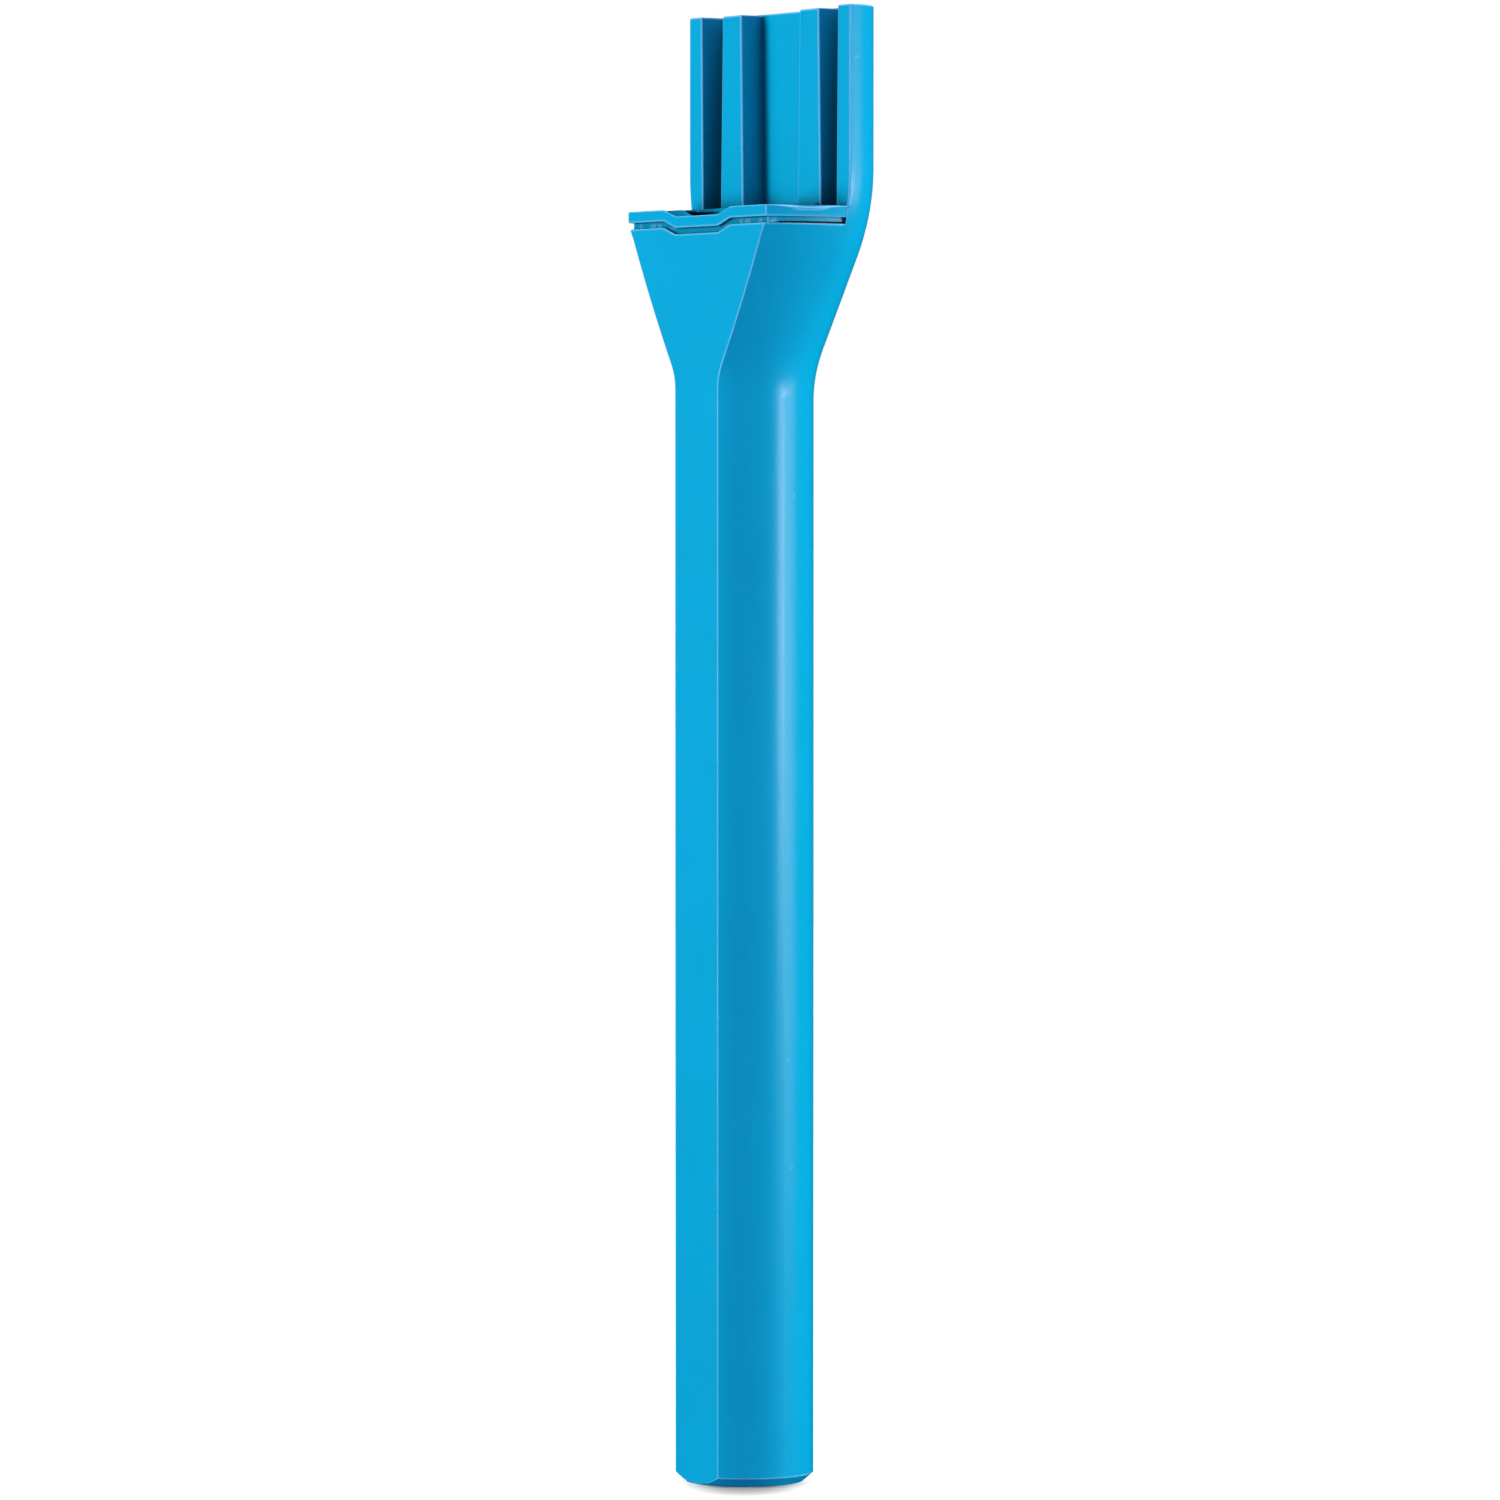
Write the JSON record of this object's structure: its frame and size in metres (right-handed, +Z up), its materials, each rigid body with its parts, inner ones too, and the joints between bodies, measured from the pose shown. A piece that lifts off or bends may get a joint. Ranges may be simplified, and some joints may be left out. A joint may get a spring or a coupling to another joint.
{
  "type": "pool suction wand",
  "caption": "Hollow D-section suction wand for a pool vacuum, flaring into a mouth with a lift-out strainer and an upright dock plate with guide ribs.",
  "frame": {"origin": "middle of the lower end, on the axis of the hose bore", "axes": "+Z up along the handle to the dock plate, -Y out of the flat facet, +X to the right seen from the facet"},
  "size_m": [0.0888, 0.0451, 0.4676],
  "materials": {
    "blue_abs": "satin",
    "grey_abs": "satin",
    "black_rubber": "matt",
    "stainless_screw": "satin",
    "nylon_mesh": "woven"
  },
  "bodies": {
    "wand": {"handle_shell": "blue_abs", "guide_rib_left": "blue_abs", "guide_rib_right": "blue_abs", "rib_screws": "stainless_screw", "hose_socket": "grey_abs", "hose_stop": "black_rubber", "socket_screws": "stainless_screw"},
    "strainer": {"strainer_rim": "blue_abs", "strainer_cup": "blue_abs", "strainer_mesh": "nylon_mesh", "rim_seal": "black_rubber"}
  },
  "joints": [
    {"name": "strainer_lift", "type": "slide", "parent": "wand", "child": "strainer", "axis": [0, 0, 1], "range_m": [0, 0.12]}
  ]
}
